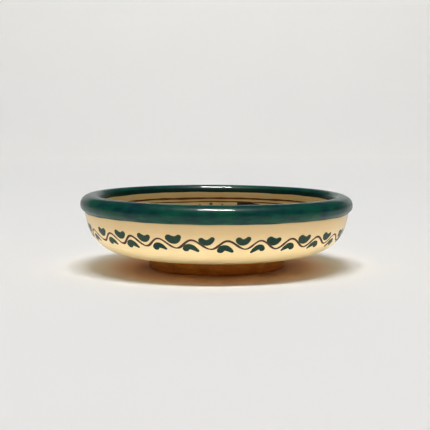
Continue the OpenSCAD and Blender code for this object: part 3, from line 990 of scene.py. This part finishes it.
class BOWL_OT_paint_rosette(Operator):
    """Paints the ring and the rosette in the middle of the well"""
    bl_idname = "bowl.paint_rosette"
    bl_label = "Paint Rosette"

    def execute(self, context):
        form, brush, colours, skin = settings(context)
        rng = np.random.default_rng(brush.seed + 9)
        middle = skin.well_at(RING_HIGH.x - 0.7 * MM)
        ring = band_marks(skin, middle, 1.4 * MM, brush.seed + 30, 0.25 * MM, 720)
        petals, veins = [], []
        for k in range(PETALS):
            j = rng.normal(0, 1, 4)
            for marks, turn, near, far, width, shape in (
                    (petals, k, 6.5, 24.5, 7.6, (0.8, 1.0, 0.35)),
                    (veins, k + 0.5, 9, 26.5, 1.1, (0.9, 1.0, 0.5))):
                half = (far - near) / 2
                flat, u, v = brush_mark(
                    ((half * 0.72, 0.3 * j[0]), (0, 0), (-half * 0.8, 0.3 * j[1])),
                    [width * q / 2 * (1 + 0.05 * j[2]) for q in shape],
                    (half * 0.28, half * 0.2))
                r = (near + far) / 2 * MM + flat[..., 0]
                bearing = turn * TAU / PETALS + 0.02 * j[3] + flat[..., 1] / r
                marks.append((bearing, skin.well_at(r), u, v, float(rng.uniform())))
        for name, node, marks, slot, material in (
                ("rosette_ring", "well_ring", ring, "brown_paint", "band_brown"),
                ("petals", "rosette_petals", petals, "leaf_paint", "great_leaf"),
                ("veins", "rosette_veins", veins, "brown_paint", "band_brown")):
            piece = painted(skin, name, node, slot, marks, wrap=name == "rosette_ring")
            wear(piece, material)
        b = bearings(96)[None]
        r = 5 * MM * (1 + 0.04 * np.sin(3 * b + 1) + 0.03 * np.sin(5 * b))
        u = np.linspace(0, 1, 12)[:, None]
        s = skin.well_at(np.clip(u * r, 0.0, 1))
        over = place(skin, b, s, form.paint * np.sqrt(1 - u * u))
        under = place(skin, b, s, -0.15 * MM + 0 * u)[::-1]
        across = np.vstack([u, u[::-1]]) + 0 * b
        piece = revolved("rosette_eye", np.vstack([over, under]), "rosette_centre", "brown_paint",
                         {"across": across, "along": 0.5 + 0 * across, "tone": 0.3 + 0 * across},
                         poles=True, sharp=75)
        wear(piece, "band_brown")
        return {"FINISHED"}


class BOWL_OT_set_studio(Operator):
    """Sets the pale sweep, the overhead strip light, the room light and the camera"""
    bl_idname = "bowl.set_studio"
    bl_label = "Set Studio"

    def execute(self, context):
        studio = context.scene.bowl_studio
        colours = context.scene.bowl_colours
        self.sweep(colours)
        self.lights(context, studio)
        self.camera(context, studio)
        return {"FINISHED"}

    @staticmethod
    def sweep(colours):
        back, bend, tall, wide, front = 1.6, 0.7, 0.85, 2.4, -2.6
        a = np.linspace(0, math.pi / 2, 24)
        line = np.vstack([[(front, 0)], np.c_[np.linspace(-0.6, back, 12), np.zeros(12)],
                          np.c_[back + bend * np.sin(a), bend * (1 - np.cos(a))],
                          [(back + bend, tall)]])
        x = np.linspace(-wide, wide, 13)
        points = np.array([[(xx, p[0], p[1]) for xx in x] for p in line])
        mesh = bpy.data.meshes.new("sweep")
        mesh.from_pydata(points.reshape(-1, 3).tolist(), [],
                         grid_faces(len(line), len(x), False, False))
        mesh.shade_smooth()
        sweep = bpy.data.objects.new("sweep", mesh)
        bpy.context.scene.collection.objects.link(sweep)
        material, n, shader = new_material("studio_paper")
        where = n.where()
        grain = n.noise(where, 5.0, 3.0, 0.5)
        base = colours.floor
        tone = n.mix(grain, tuple(c * 0.985 for c in base), base)
        # Painted shadow: under the bowl the paper's colour goes over to the warm floor colour,
        # standing in for the bowl's brown shadow.
        wide = n.vector("LENGTH", n.vector("MULTIPLY", where, (1, 0.8, 1)))
        under = n.math("MULTIPLY", n.between(wide, 94 * MM, 60 * MM),
                       n.between(n.vector("LENGTH", where), 100 * MM, 86 * MM))
        tone = n.mix(under, tone, colours.warm)
        path = n.add("ShaderNodeLightPath")
        tone = n.mix(path.outputs["Is Diffuse Ray"], tone, BOUNCE)
        n.give(shader, Base_Color=tone, Roughness=0.9, Specular_IOR_Level=0.1)
        wear(sweep, "studio_paper")

    @staticmethod
    def lights(context, studio):
        white, mild = (1.0, 0.995, 0.985), (1.0, 0.99, 0.97)
        cool, warm = (0.88, 0.94, 1.0), (1.0, 0.55, 0.22)
        for name, where, turn, wide, deep, power, tint in (
                ("strip_box", (0.04, -0.36, 3.0), (-6, 0), 1.5, 0.09, studio.strip_power, white),
                ("strip", (0.04, -0.36, 2.97), (-6, 0), 0.89, 0.085, studio.strip_glint, white),
                ("backdrop_wash", (0, 1.5, 1.7), (22, 0), 3.6, 0.5, studio.wash_power, cool),
                ("front_fill", (0, -1.9, 0.16), (90, 0), 2.4, 0.3, studio.fill_power, warm),
                ("side_left", (-1.9, -0.1, 1), (0, -62.2), 0.5, 1, studio.side_power, mild),
                ("side_right", (1.9, -0.1, 1), (0, 62.2), 0.5, 1, studio.side_power, mild)):
            lamp = bpy.data.lights.new(name, "AREA")
            lamp.shape = "RECTANGLE"
            lamp.size, lamp.size_y, lamp.energy, lamp.color = wide, deep, power, tint
            item = bpy.data.objects.new(name, lamp)
            item.location = where
            item.rotation_euler = (math.radians(turn[0]), math.radians(turn[1]), 0)
            item.visible_glossy = name == "strip"       # only this one shows in gloss
            item.visible_diffuse = name != "strip"
            context.scene.collection.objects.link(item)
        world = context.scene.world = bpy.data.worlds.new("room")
        world.use_nodes = True
        world.node_tree.nodes.clear()
        n = Nodes(world.node_tree)
        mix = n.add("ShaderNodeMixShader")
        n.link(n.add("ShaderNodeLightPath").outputs["Is Camera Ray"], mix.inputs[0])
        for k, tint, strength in ((1, (1, 0.93, 0.84), studio.sky), (2, (0.8, 0.79, 0.78), 1)):
            glow = n.give(n.add("ShaderNodeBackground"), Color=tint, Strength=strength)
            n.link(glow.outputs[0], mix.inputs[k])
        n.link(mix.outputs[0], n.add("ShaderNodeOutputWorld").inputs["Surface"])

    @staticmethod
    def camera(context, studio):
        data = bpy.data.cameras.new("camera")
        data.lens = studio.lens
        data.sensor_width = 36
        camera = bpy.data.objects.new("camera", data)
        camera.location = (studio.aside, -studio.distance, studio.height)
        camera.rotation_euler = (math.radians(90 - studio.pitch), math.radians(studio.roll), 0)
        context.scene.collection.objects.link(camera)
        context.scene.camera = camera
        context.scene.view_settings.view_transform = "Standard"


class BOWL_PT_workshop(Panel):
    """The steps of making the bowl"""
    bl_label = "Painted Bowl"
    bl_idname = "BOWL_PT_workshop"
    bl_space_type = "VIEW_3D"
    bl_region_type = "UI"
    bl_category = "Bowl"

    def draw(self, context):
        for step in STEPS:
            self.layout.operator(step.bl_idname)
        for key in GROUPS:
            box = self.layout.box()
            group = getattr(context.scene, key)
            for name in group.__annotations__:
                box.prop(group, name)


STEPS = (BOWL_OT_throw_clay, BOWL_OT_lay_lip_coil, BOWL_OT_turn_foot, BOWL_OT_glaze_outside,
         BOWL_OT_glaze_inside, BOWL_OT_glaze_lip, BOWL_OT_paint_vine, BOWL_OT_paint_leaves,
         BOWL_OT_paint_bands, BOWL_OT_paint_well, BOWL_OT_paint_rosette, BOWL_OT_set_studio)
GROUPS = {"bowl_form": BowlForm, "bowl_brushwork": BowlBrushwork, "bowl_colours": BowlColours,
          "bowl_studio": BowlStudio}
CLASSES = (*GROUPS.values(), *STEPS, BOWL_PT_workshop)


def register():
    for item in CLASSES:
        bpy.utils.register_class(item)
    for key, group in GROUPS.items():
        setattr(bpy.types.Scene, key, PointerProperty(type=group))


def unregister():
    for key in GROUPS:
        delattr(bpy.types.Scene, key)
    for item in reversed(CLASSES):
        bpy.utils.unregister_class(item)


def main():
    register()
    for step in STEPS:
        area, name = step.bl_idname.split(".")
        getattr(getattr(bpy.ops, area), name)()


if __name__ == "__main__":
    main()
